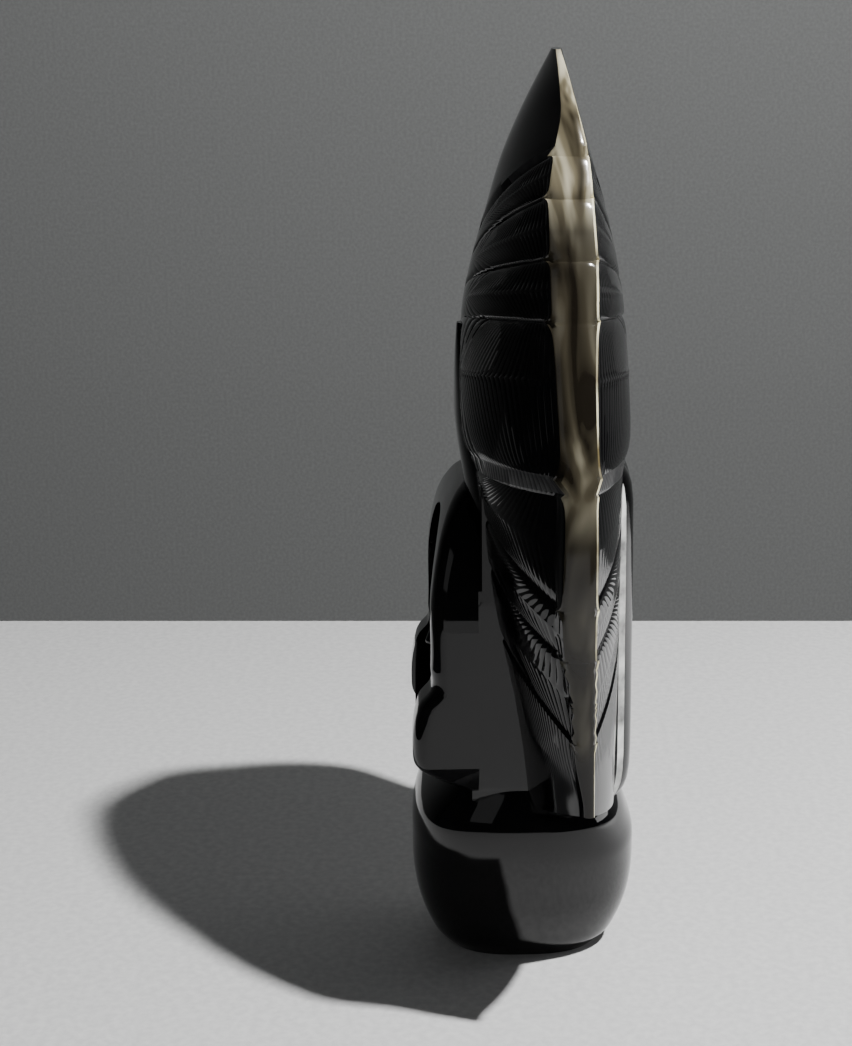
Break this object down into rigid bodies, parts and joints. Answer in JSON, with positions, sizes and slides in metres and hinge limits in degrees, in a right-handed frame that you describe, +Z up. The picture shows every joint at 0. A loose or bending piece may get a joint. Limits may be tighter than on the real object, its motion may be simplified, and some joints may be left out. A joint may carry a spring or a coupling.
{
  "type": "obsidian bust",
  "caption": "Bust carved from polished black obsidian: a calm hooded head, a tall leaf-shaped feather headdress with a smoky rim, and a rounded plinth.",
  "frame": {"origin": "on the surface that the bust stands on, under the middle of its outline", "axes": "+Z up along the height, X across the spread of the feathers, the face looks along -Y"},
  "size_m": [0.1372, 0.06, 0.24],
  "materials": {
    "obsidian": "polished, smoky brown where thin"
  },
  "bodies": {
    "root": {"bust": "obsidian"}
  },
  "joints": []
}
